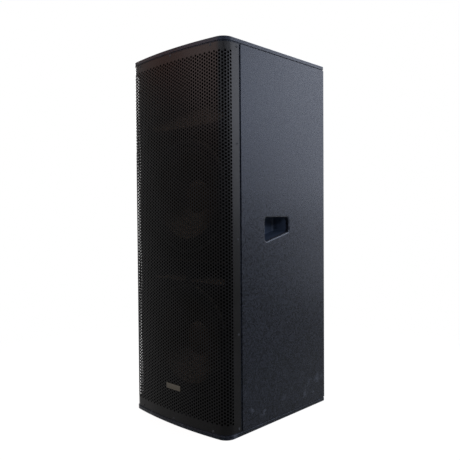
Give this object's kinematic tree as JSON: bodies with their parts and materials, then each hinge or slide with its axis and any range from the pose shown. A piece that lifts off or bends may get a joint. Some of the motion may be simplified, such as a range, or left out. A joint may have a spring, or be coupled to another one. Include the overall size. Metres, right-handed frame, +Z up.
{
  "type": "loudspeaker cabinet",
  "caption": "Tall two-way loudspeaker cabinet with a bowed perforated steel grille, woofers, horn, ports, side handle pockets and a rear socket dish.",
  "frame": {"origin": "middle of the underside of the bottom panel", "axes": "+Z up, the bowed grille faces -Y, +X is to the right of someone facing the grille"},
  "size_m": [0.47, 0.5449, 1.25],
  "materials": {
    "black_paint_ply": "black textured paint on plywood",
    "bare_ply": "unpainted plywood",
    "grille_steel": "satin black powder coat",
    "screw_steel": "zinc plated",
    "badge_metal": "satin, bare",
    "black_plastic": "fine moulded grain",
    "frame_paint": "cast, black enamel",
    "gasket_foam": "matt",
    "surround_cloth": "doped cloth",
    "cone_paper": "pressed paper",
    "coil_wire": "enamelled copper",
    "spider_cloth": "resin cloth",
    "motor_steel": "zinc passivated",
    "ferrite": "dark ferrite",
    "hf_dome": "bright thin metal",
    "plug_resin": "moulded resin",
    "board_laminate": "green laminate",
    "capacitor_film": "yellow film",
    "resistor_ceramic": "white cement",
    "nylon": "natural nylon",
    "dish_steel": "black powder coat",
    "socket_plastic": "moulded",
    "lead_jacket": "soft jacket"
  },
  "bodies": {
    "cabinet": {"top_panel": "black_paint_ply", "bottom_panel": "black_paint_ply", "left_side_panel": "black_paint_ply", "right_side_panel": "black_paint_ply", "rear_panel": "black_paint_ply", "front_baffle": "black_paint_ply", "grille_battens": "black_paint_ply", "mid_brace": "bare_ply", "upper_brace": "bare_ply", "grille": "grille_steel", "grille_side_screws": "screw_steel", "grille_front_screws": "screw_steel", "handle_screws": "screw_steel", "woofer_screws": "screw_steel", "horn_screws": "screw_steel", "hf_bolts": "screw_steel", "input_screws": "screw_steel", "badge_plate": "badge_metal", "left_handle_cup": "black_plastic", "right_handle_cup": "black_plastic", "left_port_duct": "black_plastic", "right_port_duct": "black_plastic", "horn": "black_plastic", "hf_rear_cover": "black_plastic", "upper_basket": "frame_paint", "upper_gasket": "gasket_foam", "upper_surround": "surround_cloth", "upper_spider": "spider_cloth", "upper_front_plate": "motor_steel", "upper_magnet": "ferrite", "upper_yoke": "motor_steel", "lower_basket": "frame_paint", "lower_gasket": "gasket_foam", "lower_surround": "surround_cloth", "lower_spider": "spider_cloth", "lower_front_plate": "motor_steel", "lower_magnet": "ferrite", "lower_yoke": "motor_steel", "woofer_terminals": "nylon", "hf_yoke": "motor_steel", "hf_top_plate": "motor_steel", "hf_magnet": "ferrite", "hf_phase_plug": "plug_resin", "hf_suspension": "spider_cloth", "crossover_board": "board_laminate", "crossover_coils": "coil_wire", "crossover_capacitors": "capacitor_film", "crossover_resistors": "resistor_ceramic", "crossover_posts": "nylon", "input_dish": "dish_steel", "speaker_sockets": "socket_plastic", "internal_leads": "lead_jacket"},
    "upper_cone_assembly": {"upper_cone": "cone_paper", "upper_dust_cap": "cone_paper", "upper_voice_coil": "coil_wire"},
    "lower_cone_assembly": {"lower_cone": "cone_paper", "lower_dust_cap": "cone_paper", "lower_voice_coil": "coil_wire"},
    "hf_dome": {"hf_diaphragm": "hf_dome"}
  },
  "joints": [
    {"name": "upper_cone_slide", "type": "slide", "parent": "cabinet", "child": "upper_cone_assembly", "axis": [0, -1, 0], "range_m": [-0.006, 0.006], "stiffness_N_per_m": 4500, "deforming": ["upper_surround", "upper_spider"]},
    {"name": "lower_cone_slide", "type": "slide", "parent": "cabinet", "child": "lower_cone_assembly", "axis": [0, -1, 0], "range_m": [-0.006, 0.006], "stiffness_N_per_m": 4500, "deforming": ["lower_surround", "lower_spider"]},
    {"name": "hf_dome_slide", "type": "slide", "parent": "cabinet", "child": "hf_dome", "axis": [0, -1, 0], "range_m": [-0.0004, 0.0004], "stiffness_N_per_m": 3000, "deforming": ["hf_suspension"]}
  ]
}
